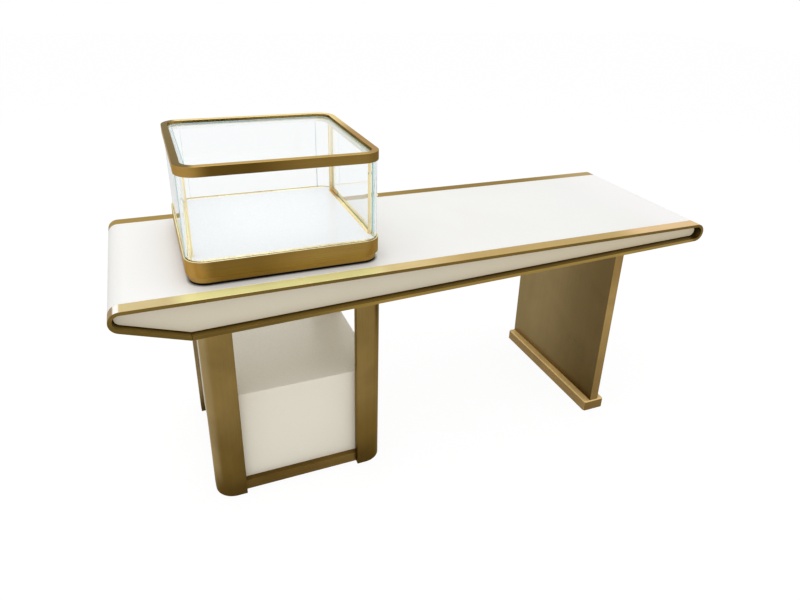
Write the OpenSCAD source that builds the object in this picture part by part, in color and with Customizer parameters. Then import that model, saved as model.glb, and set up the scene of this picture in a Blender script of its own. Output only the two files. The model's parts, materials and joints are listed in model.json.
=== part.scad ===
// Jewellery sales counter. A long beam with a flat worktop, round noses and a kinked
// underside stands on a cabinet with four round-cornered posts and on one slab leg. A glass
// showcase with a hinged side door stands on the worktop above the cabinet.
// Origin: on the floor, under the middle of the counter. +X runs along the counter to
// the right of the customer, +Y to the sales side, +Z up. Millimetres.

/* [Counter] */
// Length over both noses
counter_len = 2000; // [1850:10:2400]
// Depth over both brass bands
counter_depth = 675; // [650:5:800]
// Height of the worktop
worktop_h = 778; // [700:2:950]

/* [Beam] */
// Radius of the left nose
nose_left_r = 32; // [28:1:40]
// Radius of the right nose
nose_right_r = 33; // [28:1:40]
// Distance from the left end to the kink of the underside
kink_from_left = 196; // [150:2:214]
// Height of the beam at its kink
kink_drop = 120; // [100:1:150]
// Width of a brass band
band_w = 44; // [38:1:60]
// Thickness of a brass band
band_t = 11; // [6:1:12]
// Width of the open mitre in the lower run of a band
mitre_slit = 0.4; // [0.2:0.1:1]
// How far a fascia lies behind the face of its band
fascia_recess = 22; // [8:1:24]
// Thickness of a fascia
fascia_t = 12; // [6:1:13]
// Gap round a fascia inside its band
fascia_gap = 3.5; // [1:0.5:6]
// Further gap at the right end of a fascia
fascia_end_gap = 8; // [0:1:20]
// Thickness of the worktop and of the underside boards
board_t = 12; // [9:1:13]
// Width of a beam rail, front to back
rail_w = 30; // [20:1:50]
// Wall of the rails and of the other steel tubes
tube_wall = 3; // [2:0.5:4]
// Thickness of a rib inside the beam
rib_t = 18; // [12:1:25]

/* [Pedestal] */
// Distance from the left end of the beam to the pedestal
pedestal_from_left = 216; // [214:2:260]
// Width of the pedestal over its posts
pedestal_w = 562; // [482:5:642]
// Distance from the front of the beam to the front posts
pedestal_from_front = 79; // [60:1:120]
// Distance from the rear of the beam to the rear posts
pedestal_from_rear = 16; // [15:1:80]
// Width of a corner post's two outer faces
post_w = 92; // [84:1:104]
// Width of a post's end faces, between which its inner face runs aslant
post_end = 26; // [20:1:34]
// Radius of the round corner of a post
post_r = 62; // [30:1:64]
// Wall of a post cladding
clad_t = 3; // [1.5:0.5:4]
// Side of a steel upright inside a post
upright_w = 32; // [24:1:33]
// Height of the plinth rails
plinth_h = 36; // [25:1:60]
// How far the plinth lies behind the face of the posts
plinth_recess = 18.6; // [8:0.2:22]
// Depth of a plinth rail
plinth_w = 60; // [40:1:80]
// How far the front and the doors lie behind the face of the posts
front_recess = 39; // [28:1:45]
// How far the side panels lie behind the face of the posts
side_recess = 13; // [6:1:25]
// Height of the cabinet's top above the floor
cabinet_h = 366; // [300:2:420]
// Thickness of the cabinet panels
panel_t = 18; // [15:1:22]
// Height of the inner shelf above the cabinet's bottom panel
shelf_lift = 145; // [100:5:180]
// Thickness of the inner shelf
shelf_t = 16; // [12:1:20]
// Radius of a shelf pin
shelf_pin_r = 2.5; // [2:0.5:4]
// Length of a shelf pin
shelf_pin_len = 20; // [16:1:24]

/* [Cabinet doors] */
// Gap round a cabinet door
door_gap = 2; // [1.5:0.5:4]
// Radius of a cabinet pivot pin
pivot_r = 3; // [2:0.5:4]
// Depth of a pivot pin in its bores
pivot_depth = 12; // [8:1:13]
// Radius of a knob
knob_r = 11; // [8:1:16]
// Length of a knob
knob_len = 22; // [16:1:30]

/* [Leg] */
// Thickness of the slab leg
leg_t = 36; // [26:1:50]
// Distance from the right end of the beam to the leg
leg_from_right = 315; // [260:5:400]
// Width of the foot bar
foot_w = 90; // [70:1:120]
// Height of the foot bar
foot_h = 42; // [30:1:60]
// How far the foot bar runs past the leg at each end
foot_over = 4; // [0:1:12]
// Radius of the foot bar's long upper edges
foot_edge_r = 7; // [3:1:12]
// Radius of the foot bar's upright corners
foot_corner_r = 9; // [4:1:20]

/* [Feet and bolts] */
// Height of the glides under the counter
glide_h = 2; // [1.5:0.5:6]
// Radius of a glide
glide_r = 18; // [12:1:20]
// Radius of a glide's threaded stem
stem_r = 5; // [4:0.5:6]
// Length of a glide's threaded stem
stem_len = 24; // [15:1:24]
// Radius of the bolts
bolt_r = 4; // [3:0.5:5]
// Length of the bolts below their heads
bolt_len = 50; // [45:1:60]
// Radius of a bolt's head
bolt_head_r = 7; // [6:0.5:8]
// Height of a bolt's head
bolt_head_h = 6; // [4:0.5:8]
// Thickness of the steel plates under the bolts
plate_t = 5; // [3:0.5:8]
// Side of a steel plate over an upright
plate_w = 38; // [28:1:40]

/* [Showcase] */
// Distance from the left end of the beam to the showcase
case_from_left = 204.5; // [160:0.5:300]
// Width of the showcase
case_w = 563; // [450:1:640]
// Distance from the front of the beam to the showcase
case_from_front = 69.5; // [50:0.5:120]
// Distance from the rear of the beam to the showcase
case_from_rear = 52.5; // [20:0.5:120]
// Radius of the showcase's corners
case_r = 57; // [44:1:80]
// Height of the rubber gasket
gasket_h = 7; // [2:0.5:10]
// Width of the rubber gasket
gasket_w = 16; // [8:1:20]
// How far the gasket lies behind the base band
gasket_inset = 10; // [4:1:12]
// Height of the recessed base step
step_h = 18.5; // [8:0.5:25]
// How far the base step lies behind the base band
step_inset = 8; // [3:1:14]
// Width of the base step's ring
step_w = 22; // [18:1:30]
// Height of the base band
base_h = 47.5; // [35:0.5:70]
// Wall of the base band
base_t = 4; // [3:0.5:6]
// Thickness of the base band's lower flange
flange_t = 3; // [2:0.5:4]
// Width of the base band's lower flange
flange_w = 30; // [20:1:40]
// Thickness of the display floor
floor_t = 6; // [4:1:8]
// Width of the brass border round the display floor
border_w = 11; // [6:0.5:14]
// Radius of the display floor's corners
floor_r = 14; // [4:1:24]
// Height of glass between base and ring
glass_h = 238; // [180:1:320]
// Thickness of the wall glass
glass_t = 6; // [4:1:8]
// Height of the top ring
ring_h = 28.5; // [24:0.5:40]
// Width of the top ring
ring_w = 20; // [18:1:30]
// Depth of the glass groove in the top ring
groove_d = 10; // [6:1:14]
// Width of the cream ledge inside the top ring
ledge_w = 12; // [8:1:20]
// Height of the cream ledge
ledge_h = 14; // [8:1:18]
// Thickness of the top glass
top_glass_t = 6; // [4:1:8]
// Width of the upright strips behind the glass joints
strip_w = 12; // [6:1:20]
// Thickness of the upright strips
strip_t = 5; // [3:0.5:12]
// How far the upright strips stand behind the left face of the base band
strip_inset = 22; // [12:0.5:26]

/* [Showcase door] */
// Thickness of the door's hinge stile
door_t = 10; // [9:1:12]
// Width of the hinge stile
stile_w = 10; // [9:1:16]
// Length of the stile's two arms along the glass
arm_len = 60; // [30:5:120]
// Height of an arm
arm_h = 9; // [6:1:14]
// How far the door lies behind the base band's face
door_inset = 8; // [5:0.5:10]
// Width of a jamb
jamb_w = 12; // [11:1:14]
// Thickness of a jamb
jamb_t = 7; // [5:0.5:10]
// Gap round the showcase door
case_door_gap = 2; // [1.5:0.5:3]
// Thickness of the door glass
door_glass_t = 5; // [4:0.5:6]
// Radius of a showcase pivot pin
case_pivot_r = 2; // [1.5:0.5:2.5]
// Radius of the door pull
pull_r = 4.5; // [3:0.5:5]
// Length of the door pull
pull_len = 14; // [8:1:20]

/* [Clearances] */
// Clearance of a pin or a stem in its bore
run_gap = 0.05; // [0.02:0.01:0.1]
// Clearance between a piece and the seat that holds it
seat_gap = 0.3; // [0.2:0.1:0.5]

/* [Hidden] */
$fn = 96;

brass = "#8f713a";
brass_light = "#c9a86a";
cream = "#ece8dd";
steel = "#8d9196";
ply = "#c8a878";
rubber = "#26262a";
glass = [0.75, 0.9, 0.92, 0.35];

// How far a cutter runs past what it cuts
past = 1;

// Beam outline: nose centres, kink and the unit normals of the two underside slopes
x_left = -counter_len / 2;
x_right = counter_len / 2;
y_front = -counter_depth / 2;
y_core = counter_depth / 2 - band_w;
nose_l = [x_left + nose_left_r, worktop_h - nose_left_r];
nose_r = [x_right - nose_right_r, worktop_h - nose_right_r];
kink = [x_left + kink_from_left, worktop_h - kink_drop];
function touching(from, centre, r, side) =
    let (d = centre - from, a = atan2(d[1], d[0]) + side * asin(r / norm(d)))
    [cos(a), sin(a)];
dir_l = touching(kink, nose_l, nose_left_r, 1);
dir_r = touching(kink, nose_r, nose_right_r, -1);
in_l = [dir_l[1], -dir_l[0]];
in_r = [-dir_r[1], dir_r[0]];
function kink_at(t) = kink + t * (in_l + in_r) / (1 + in_l * in_r);
function touch_l(t) = nose_l - (nose_left_r - t) * in_l;
function touch_r(t) = nose_r - (nose_right_r - t) * in_r;
slope = atan2(dir_r[1], dir_r[0]);

// The noses as arcs: the left one from the top down, the right one from below up
nose_steps = 36;
left_end = 270 - atan2(in_l[0], in_l[1]);
function arc(centre, r, from, to) = [
    for (i = [0:nose_steps])
        let (a = from + (to - from) * i / nose_steps)
        centre + r * [cos(a), sin(a)]
];
function arc_l(t) = arc(nose_l, nose_left_r - t, 90, left_end);
function arc_r(t) = arc(nose_r, nose_right_r - t, slope - 90, 90);
function backwards(points) = [for (i = [len(points) - 1:-1:0]) points[i]];
function under_z(x) = kink[1] + (x - kink[0]) * tan(slope);

// Rails and ribs inside the beam
rail_play = 6;
rail_h = 2 * (min(nose_left_r, nose_right_r) - board_t) - rail_play;
rail_y = counter_depth / 2 - fascia_recess - fascia_t;
rail_end = 5;
rib_y = rail_y - rail_w;

// Pedestal
ped_x0 = x_left + pedestal_from_left;
ped_x1 = ped_x0 + pedestal_w;
ped_y0 = y_front + pedestal_from_front;
ped_y1 = -y_front - pedestal_from_rear;
ped_xm = (ped_x0 + ped_x1) / 2;
bay_x0 = ped_x0 + post_w;
bay_x1 = ped_x1 - post_w;
bay_y0 = ped_y0 + post_w;
bay_y1 = ped_y1 - post_w;
box_x0 = ped_x0 + side_recess;
box_x1 = ped_x1 - side_recess;
box_y0 = ped_y0 + front_recess;
box_y1 = ped_y1 - front_recess;
plinth_top = glide_h + plinth_h;
floor_top = plinth_top + panel_t;
shelf_z = floor_top + shelf_lift;
lid_z = cabinet_h - panel_t;
post_round_in = post_r - (post_r - clad_t) / sqrt(2);
post_slant_in = (post_w + post_end) / 2 - clad_t / sqrt(2);
upright_in = (post_round_in + post_slant_in) / 2;
upright_xs = [ped_x0 + upright_in, ped_x1 - upright_in];
upright_ys = [ped_y0 + upright_in, ped_y1 - upright_in];
upright_cap = 30;

// Cabinet doors: each hides its hinged edge behind a post
hinge_y = box_y1 - panel_t / 2;
hinge_x0 = bay_x0 + door_gap + panel_t / 2;
hinge_x1 = bay_x1 - door_gap - panel_t / 2;
door_lap = front_recess + panel_t / 2 - post_end - door_gap * (sqrt(2) - 1);
door_z0 = floor_top + door_gap;
door_z1 = lid_z - door_gap;
knob_drop = 46;
knob_z = door_z1 - knob_drop;
knob_from_edge = 34;
knob_neck_r = 5;
knob_back_r = 9;
knob_neck_len = 10;
shelf_pin_in = 40;
shelf_back_gap = 6;

// Leg
leg_x1 = x_right - leg_from_right;
leg_x0 = leg_x1 - leg_t;
leg_xm = (leg_x0 + leg_x1) / 2;
foot_top = glide_h + foot_h;
leg_bolt_in = 110;
leg_bolt_ys = [leg_bolt_in - y_core, 0, y_core - leg_bolt_in];
leg_glide_in = 40;
leg_glide_ys = [leg_glide_in - y_core, y_core - leg_glide_in];
leg_plate_w = 96;
leg_plate_in = 40;
leg_plate_len = 2 * (y_core - leg_plate_in);
foot_head_gap = 1;

// Ribs stand beside the posts, the leg and the left nose, and one midway
rib_off_nose = 84;
rib_off_post = 54;
rib_off_leg = 108;
rib_xs = [
    nose_l[0] + rib_off_nose, bay_x0 + rib_off_post, bay_x1 - rib_off_post,
    (ped_x1 + leg_x0) / 2, leg_x0 - rib_off_leg, leg_x1 + rib_off_leg
];

// Showcase
case_x0 = x_left + case_from_left;
case_x1 = case_x0 + case_w;
case_y0 = y_front + case_from_front;
case_y1 = -y_front - case_from_rear;
step_z = worktop_h + gasket_h;
base_z = step_z + step_h;
base_top = base_z + base_h;
deck_top = base_top - floor_t;
ring_z = base_top + glass_h;
ring_top = ring_z + ring_h;
glass_in = base_t + seat_gap;
wall_in = glass_in + glass_t;
border_in = wall_in + seat_gap;
floor_in = border_in + border_w + seat_gap;
ledge_in = ring_w + seat_gap;
ledge_top = ring_z + ledge_h;
flat_y0 = case_y0 + case_r;
flat_y1 = case_y1 - case_r;

// Showcase door, hinged at its rear edge
case_door_x1 = case_x1 - door_inset;
case_door_x0 = case_door_x1 - door_t;
case_door_xm = case_door_x1 - door_t / 2;
case_door_y0 = flat_y0 + case_door_gap;
case_hinge_y = flat_y1 - case_door_gap - door_t / 2;
bite = 3;
case_glass_y1 = case_hinge_y + door_t / 2 - stile_w + bite;
case_door_z0 = base_top + case_door_gap;
case_door_z1 = ring_z - case_door_gap;
case_pin_depth = 12;
jamb_x = case_door_x0 - seat_gap;
sill_x = jamb_x - 11;
magnet_r = 3.5;
disc_r = 4;
catch_in = 7;
magnet_lift = 70;
case_door_zm = (case_door_z0 + case_door_z1) / 2;
magnet_z = case_door_zm + magnet_lift;
pull_neck_r = 2.7;

// Sweeps an outline in X and Z from y0 to y1
module along_y(y0, y1) {
    translate([0, y1, 0])
        rotate([90, 0, 0])
            linear_extrude(y1 - y0)
                children();
}

// A box between two corners
module block(a, b) {
    translate(a)
        cube(b - a);
}

// Outline of the beam, drawn in by t
module beam_outline(t) {
    polygon(concat(arc_l(t), [kink_at(t)], arc_r(t)));
}

// A skin of thickness t over the top and round both noses
module upper_skin(t) {
    polygon(concat(backwards(arc_l(0)), backwards(arc_r(0)), arc_r(t), arc_l(t)));
}

// The skin of thickness t under the left and the right slope, from gap past the kink
module left_run(t, gap) {
    polygon([touch_l(0), kink_at(0) + gap * dir_l, kink_at(t) + gap * dir_l, touch_l(t)]);
}

module right_run(t, gap) {
    polygon([kink_at(0) + gap * dir_r, touch_r(0), touch_r(t), kink_at(t) + gap * dir_r]);
}

module band(y0) {
    slit = mitre_slit / 2;
    along_y(y0, y0 + band_w)
        difference() {
            beam_outline(0);
            beam_outline(band_t);
            polygon([
                kink_at(-past) + slit * dir_l, kink_at(band_t + past) + slit * dir_l,
                kink_at(band_t + past) + slit * dir_r, kink_at(-past) + slit * dir_r
            ]);
        }
}

module fascia(y0) {
    inset = band_t + fascia_gap;
    along_y(y0, y0 + fascia_t)
        intersection() {
            beam_outline(inset);
            translate([-fascia_end_gap, 0])
                beam_outline(inset);
        }
}

// Places children on the right slope of the underside, their +Z square to it
module on_slope(x, y) {
    translate([x, y, under_z(x)])
        rotate([0, -slope, 0])
            children();
}

// Everything under the right slope of the beam
module under_beam() {
    along_y(y_front, -y_front)
        polygon([
            [kink[0], 0], [touch_r(0)[0], 0], touch_r(0), kink
        ]);
}

// A bolt with its head at z = 0, pointing down
module bolt() {
    translate([0, 0, -bolt_len])
        cylinder(r = bolt_r, h = bolt_len);
    cylinder(r = bolt_head_r, h = bolt_head_h, $fn = 6);
}

module bolt_hole(gap) {
    translate([0, 0, -bolt_len - past])
        cylinder(r = bolt_r + gap, h = bolt_len + 2 * past);
}

module at_uprights() {
    for (x = upright_xs, y = upright_ys)
        on_slope(x, y)
            children();
}

module at_leg_bolts() {
    for (y = leg_bolt_ys)
        on_slope(leg_xm, y)
            children();
}

bolt_seat = board_t + plate_t;

// Section of a post drawn in by t: its round corner points to the origin
module post_outline(t) {
    far = post_w - t;
    end = post_end - t * (sqrt(2) - 1);
    intersection() {
        polygon([[t, t], [far, t], [far, end], [end, far], [t, far]]);
        union() {
            translate([post_r, post_r])
                circle(post_r - t);
            translate([post_r, t])
                square(post_w);
            translate([t, post_r])
                square(post_w);
        }
    }
}

// A post at the corner of the pedestal named by its signs
module at_corner(sx, sy) {
    translate([sx < 0 ? ped_x0 : ped_x1, sy < 0 ? ped_y0 : ped_y1, 0])
        mirror([sx < 0 ? 0 : 1, 0, 0])
            mirror([0, sy < 0 ? 0 : 1, 0])
                children();
}

module post(sx, sy) {
    color(brass)
        intersection() {
            under_beam();
            at_corner(sx, sy)
                translate([0, 0, glide_h])
                    linear_extrude(worktop_h)
                        difference() {
                            post_outline(0);
                            post_outline(clad_t);
                        }
        }
}

// The room of the four posts up to z, with a gap all round
module posts_room(gap, z) {
    for (sx = [-1, 1], sy = [-1, 1])
        at_corner(sx, sy)
            linear_extrude(z)
                post_outline(-gap);
}

// The cabinet's plan between z0 and z1, cut clear of the posts
module cabinet_slab(x0, x1, y0, y1, z0, z1) {
    difference() {
        block([x0, y0, z0], [x1, y1, z1]);
        posts_room(seat_gap, z1 + past);
    }
}

module front_band()
    color(brass)
        band(y_front);

module rear_band()
    color(brass)
        band(-y_front - band_w);

module worktop()
    color(cream)
        along_y(-y_core, y_core)
            upper_skin(board_t);

module front_fascia()
    color(cream)
        fascia(y_front + fascia_recess);

module rear_fascia()
    color(cream)
        fascia(-y_front - fascia_recess - fascia_t);

module underside_left()
    color(cream)
        along_y(-y_core, y_core)
            left_run(board_t, 0);

module underside_right()
    color(cream)
        difference() {
            along_y(-y_core, y_core)
                right_run(board_t, 0);
            at_uprights()
                translate([0, 0, bolt_seat])
                    bolt_hole(seat_gap);
            at_leg_bolts()
                translate([0, 0, bolt_seat])
                    bolt_hole(seat_gap);
        }

module beam_rails()
    color(steel)
        for (s = [-1, 1])
            difference() {
                x0 = nose_l[0] + rail_end;
                x1 = nose_r[0] - rail_end;
                z1 = worktop_h - board_t;
                ya = s < 0 ? -rail_y : rail_y - rail_w;
                block([x0, ya, z1 - rail_h], [x1, ya + rail_w, z1]);
                block(
                    [x0 - past, ya + tube_wall, z1 - rail_h + tube_wall],
                    [x1 + past, ya + rail_w - tube_wall, z1 - tube_wall]
                );
            }

module beam_ribs()
    color(ply)
        intersection() {
            along_y(-rib_y, rib_y)
                beam_outline(board_t);
            for (x = rib_xs)
                block([x - rib_t / 2, -rib_y, 0], [x + rib_t / 2, rib_y, worktop_h]);
        }

module post_front_left()
    post(-1, -1);

module post_front_right()
    post(1, -1);

module post_rear_left()
    post(-1, 1);

module post_rear_right()
    post(1, 1);

module steel_uprights()
    color(steel)
        difference() {
            intersection() {
                under_beam();
                for (x = upright_xs, y = upright_ys)
                    translate([x - upright_w / 2, y - upright_w / 2, glide_h])
                        cube([upright_w, upright_w, worktop_h]);
            }
            for (x = upright_xs, y = upright_ys) {
                hollow = upright_w - 2 * tube_wall;
                translate([x - hollow / 2, y - hollow / 2, glide_h + upright_cap])
                    cube([hollow, hollow, under_z(x) - glide_h - upright_cap - bolt_len]);
                translate([x, y, glide_h - past])
                    cylinder(r = stem_r + run_gap, h = stem_len + past);
            }
            at_uprights()
                translate([0, 0, bolt_seat])
                    bolt_hole(run_gap);
        }

module fixing_plates()
    color(steel)
        at_uprights()
            difference() {
                translate([-plate_w / 2, -plate_w / 2, board_t])
                    cube([plate_w, plate_w, plate_t]);
                translate([0, 0, bolt_seat])
                    bolt_hole(seat_gap);
            }

module fixing_bolts()
    color(steel)
        at_uprights()
            translate([0, 0, bolt_seat])
                bolt();

// A glide with a disc on the floor and a threaded stem above
module glide() {
    cylinder(r = glide_r, h = glide_h);
    cylinder(r = stem_r, h = glide_h + stem_len - past);
}

module floor_glides()
    color(rubber) {
        for (x = upright_xs, y = upright_ys)
            translate([x, y, 0])
                glide();
        for (y = leg_glide_ys)
            translate([leg_xm, y, 0])
                glide();
    }

// A plinth tube between two corners, open at both ends along X or Y
module plinth_tube(a, b, open_x) {
    ends = open_x ? [past, -tube_wall, -tube_wall] : [-tube_wall, past, -tube_wall];
    difference() {
        block(a, b);
        block(a - ends, b + ends);
    }
}

// The long rails run on behind the posts to their slanted faces
module plinth_long_rails()
    color(brass)
        difference() {
            for (y = [ped_y0 + plinth_recess, ped_y1 - plinth_recess - plinth_w])
                plinth_tube(
                    [ped_x0 + post_end, y, glide_h],
                    [ped_x1 - post_end, y + plinth_w, plinth_top],
                    true
                );
            posts_room(0, plinth_top + past);
        }

module plinth_side_rails()
    color(brass) {
        plinth_tube(
            [ped_x0 + plinth_recess, bay_y0, glide_h],
            [ped_x0 + plinth_recess + plinth_w, bay_y1, plinth_top],
            false
        );
        plinth_tube(
            [ped_x1 - plinth_recess - plinth_w, bay_y0, glide_h],
            [ped_x1 - plinth_recess, bay_y1, plinth_top],
            false
        );
    }

// Bores for the doors' pivot pins in the panel that ends at z
module pivot_bores(z) {
    for (x = [hinge_x0, hinge_x1])
        translate([x, hinge_y, z])
            cylinder(r = pivot_r + run_gap, h = pivot_depth + past);
}

module cabinet_bottom()
    color(cream)
        difference() {
            cabinet_slab(box_x0, box_x1, box_y0 + panel_t, box_y1, plinth_top, floor_top);
            pivot_bores(floor_top - pivot_depth);
        }

module cabinet_top()
    color(cream)
        difference() {
            cabinet_slab(box_x0, box_x1, box_y0 + panel_t, box_y1, lid_z, cabinet_h);
            pivot_bores(lid_z - past);
        }

module cabinet_front()
    color(cream)
        cabinet_slab(box_x0, box_x1, box_y0, box_y0 + panel_t, plinth_top, cabinet_h);

// Bores for the shelf pins, and the pins themselves with gap = 0
module at_shelf_pins(gap, extra) {
    for (s = [-1, 1], y = [bay_y0 + shelf_pin_in, bay_y1 - shelf_pin_in]) {
        face = s < 0 ? box_x0 + panel_t : box_x1 - panel_t;
        translate([face + s * (shelf_pin_len / 2 + extra), y, shelf_z - shelf_pin_r])
            rotate([0, -s * 90, 0])
                cylinder(r = shelf_pin_r + gap, h = shelf_pin_len + extra);
    }
}

module cabinet_side_left()
    color(cream)
        difference() {
            block([box_x0, bay_y0, floor_top], [box_x0 + panel_t, bay_y1, lid_z]);
            at_shelf_pins(run_gap, past);
        }

module cabinet_side_right()
    color(cream)
        difference() {
            block([box_x1 - panel_t, bay_y0, floor_top], [box_x1, bay_y1, lid_z]);
            at_shelf_pins(run_gap, past);
        }

module inner_shelf()
    color(cream)
        cabinet_slab(
            box_x0 + panel_t + seat_gap,
            box_x1 - panel_t - seat_gap,
            box_y0 + panel_t + seat_gap,
            hinge_y - norm([door_lap, panel_t / 2]) - shelf_back_gap,
            shelf_z,
            shelf_z + shelf_t
        );

module shelf_pins()
    color(steel)
        at_shelf_pins(0, 0);

// A pivot pin along Z with a thrust collar under the door
module pivot_pin(z0, z1, r, collar_z, collar_h) {
    translate([0, 0, z0])
        cylinder(r = r, h = z1 - z0);
    translate([0, 0, collar_z])
        cylinder(r = 2 * r, h = collar_h);
}

module cabinet_pivot_pins()
    color(steel)
        for (x = [hinge_x0, hinge_x1])
            translate([x, hinge_y, 0]) {
                collar = door_gap - seat_gap;
                pivot_pin(floor_top - pivot_depth, door_z0 + pivot_depth, pivot_r, floor_top, collar);
                pivot_pin(door_z1 - pivot_depth, lid_z + pivot_depth, pivot_r, lid_z - collar, collar);
            }

// A cabinet door from behind its post to the middle of the bay
module cabinet_door(x) {
    reach = abs(ped_xm - x) - door_gap / 2;
    translate([x, hinge_y, 0])
        difference() {
            translate([x < ped_xm ? -door_lap : -reach, -panel_t / 2, door_z0])
                cube([door_lap + reach, panel_t, door_z1 - door_z0]);
            for (z = [door_z0 - past, door_z1 - pivot_depth])
                translate([0, 0, z])
                    cylinder(r = pivot_r + run_gap, h = pivot_depth + past);
        }
}

module cabinet_door_left()
    color(cream)
        cabinet_door(hinge_x0);

module cabinet_door_right()
    color(cream)
        cabinet_door(hinge_x1);

// A turned knob along +Y with a neck and a wider head
module knob(x) {
    translate([x, box_y1, knob_z])
        rotate([-90, 0, 0]) {
            cylinder(r = knob_neck_r, h = knob_len);
            translate([0, 0, knob_neck_len])
                cylinder(r1 = knob_back_r, r2 = knob_r, h = knob_len - knob_neck_len);
        }
}

module cabinet_knob_left()
    color(brass)
        knob(ped_xm - knob_from_edge);

module cabinet_knob_right()
    color(brass)
        knob(ped_xm + knob_from_edge);

// The slab leg's body under the beam, drawn in by t
module leg_slab(t) {
    intersection() {
        under_beam();
        block([leg_x0 + t, -y_core + t, foot_top], [leg_x1 - t, y_core - t, worktop_h]);
    }
}

module leg_cladding()
    color(brass)
        difference() {
            leg_slab(0);
            block(
                [leg_x0 + clad_t, -y_core + clad_t, foot_top - past],
                [leg_x1 - clad_t, y_core - clad_t, worktop_h]
            );
        }

// Places a foot bolt's head in its counterbore, pointing up
module at_foot_bolts() {
    for (y = leg_bolt_ys)
        translate([leg_xm, y, glide_h + foot_head_gap + bolt_head_h])
            rotate([180, 0, 0])
                children();
}

module leg_core()
    color(ply)
        difference() {
            leg_slab(clad_t + seat_gap);
            at_leg_bolts()
                translate([0, 0, bolt_seat])
                    bolt_hole(run_gap);
            at_foot_bolts()
                bolt_hole(run_gap);
        }

module foot_bar()
    color(brass_light)
        difference() {
            intersection() {
                half = foot_w / 2;
                end = y_core + foot_over;
                along_y(-end, end)
                    translate([leg_xm, 0]) {
                        translate([-half, glide_h])
                            square([foot_w, foot_h - foot_edge_r]);
                        translate([foot_edge_r - half, glide_h])
                            square([foot_w - 2 * foot_edge_r, foot_h]);
                        for (s = [-1, 1])
                            translate([s * (half - foot_edge_r), foot_top - foot_edge_r])
                                circle(foot_edge_r);
                    }
                linear_extrude(worktop_h)
                    rounded(leg_xm - half, -end, leg_xm + half, end, foot_corner_r);
            }
            at_foot_bolts() {
                bolt_hole(seat_gap);
                cylinder(r = bolt_head_r + 2 * past, h = 2 * bolt_head_h);
            }
            for (y = leg_glide_ys)
                translate([leg_xm, y, glide_h - past])
                    cylinder(r = stem_r + run_gap, h = stem_len + past);
        }

module leg_plate()
    color(steel)
        difference() {
            on_slope(leg_xm, 0)
                translate([-leg_plate_w / 2, -leg_plate_len / 2, board_t])
                    cube([leg_plate_w, leg_plate_len, plate_t]);
            at_leg_bolts()
                translate([0, 0, bolt_seat])
                    bolt_hole(seat_gap);
        }

module leg_bolts()
    color(steel) {
        at_leg_bolts()
            translate([0, 0, bolt_seat])
                bolt();
        at_foot_bolts()
            bolt();
    }

// A rectangle with round corners
module rounded(x0, y0, x1, y1, r) {
    for (x = [x0 + r, x1 - r], y = [y0 + r, y1 - r])
        translate([x, y])
            circle(r);
    translate([x0 + r, y0])
        square([x1 - x0 - 2 * r, y1 - y0]);
    translate([x0, y0 + r])
        square([x1 - x0, y1 - y0 - 2 * r]);
}

// The showcase's plan drawn in by t
module case_plan(t) {
    rounded(case_x0 + t, case_y0 + t, case_x1 - t, case_y1 - t, case_r - t);
}

// A solid of the showcase's plan, drawn in by t, from z0 to z1
module case_slab(t, z0, z1) {
    translate([0, 0, z0])
        linear_extrude(z1 - z0)
            case_plan(t);
}

// A ring of the showcase's plan between insets t0 and t1, from z0 to z1
module case_ring(t0, t1, z0, z1) {
    difference() {
        case_slab(t0, z0, z1);
        case_slab(t1, z0 - past, z1 + past);
    }
}

// The door's side of the showcase between the two jambs
module door_side(z0, z1) {
    block([case_x1 - case_r, flat_y0, z0], [case_x1 + past, flat_y1, z1]);
}

module case_gasket()
    color(rubber)
        case_ring(gasket_inset, gasket_inset + gasket_w, worktop_h, step_z);

module case_step()
    color(brass)
        case_ring(step_inset, step_inset + step_w, step_z, base_z);

module case_base_band()
    color(brass) {
        case_ring(0, base_t, base_z, base_top);
        case_ring(base_t - past, flange_w, base_z, base_z + flange_t);
    }

// Bore for the door's lower pivot pin, through the sill into the deck
module lower_pin_bore() {
    translate([case_door_xm, case_hinge_y, deck_top - case_pin_depth])
        cylinder(r = case_pivot_r + run_gap, h = case_pin_depth + floor_t + past);
}

module case_deck()
    color(ply)
        difference() {
            case_slab(base_t + seat_gap / 2, base_z + flange_t, deck_top);
            lower_pin_bore();
        }

// Room for the door's sill in the display floor and its border
module sill_cut() {
    block(
        [sill_x - seat_gap, flat_y0 - seat_gap, deck_top - past],
        [case_x1, flat_y1 + seat_gap, base_top + past]
    );
}

// The display floor's outline drawn in by t
module floor_plan(t) {
    inset = floor_in + t;
    rounded(case_x0 + inset, case_y0 + inset, case_x1 - inset, case_y1 - inset, floor_r - t);
}

module display_floor()
    color("white")
        difference() {
            translate([0, 0, deck_top])
                linear_extrude(floor_t)
                    floor_plan(0);
            sill_cut();
        }

module floor_border()
    color(brass_light)
        difference() {
            case_slab(border_in, deck_top, base_top);
            translate([0, 0, deck_top - past])
                linear_extrude(floor_t + 2 * past)
                    floor_plan(-seat_gap);
            sill_cut();
        }

// The upright ring of wall glass in its groove. The front pane is bent round both corners.
module wall_glass() {
    case_ring(glass_in, wall_in, deck_top, ring_z + groove_d - seat_gap);
}

module wall_pane(a, b)
    color(glass)
        intersection() {
            wall_glass();
            block(a, b);
        }

module glass_front()
    wall_pane(
        [case_x0, case_y0, 0],
        [case_x1, flat_y0 - seat_gap, ring_top]
    );

module glass_rear()
    wall_pane(
        [case_x0 + case_r, flat_y1, 0],
        [case_x1 - case_r, case_y1, ring_top]
    );

module glass_left()
    wall_pane(
        [case_x0, flat_y0, 0],
        [case_x0 + case_r, flat_y1, ring_top]
    );

module glass_corner_rear_left()
    wall_pane(
        [case_x0, flat_y1 + seat_gap, 0],
        [case_x0 + case_r - seat_gap, case_y1, ring_top]
    );

module glass_corner_rear_right()
    wall_pane(
        [case_x1 - case_r + seat_gap, flat_y1 + seat_gap, 0],
        [case_x1, case_y1, ring_top]
    );

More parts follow.
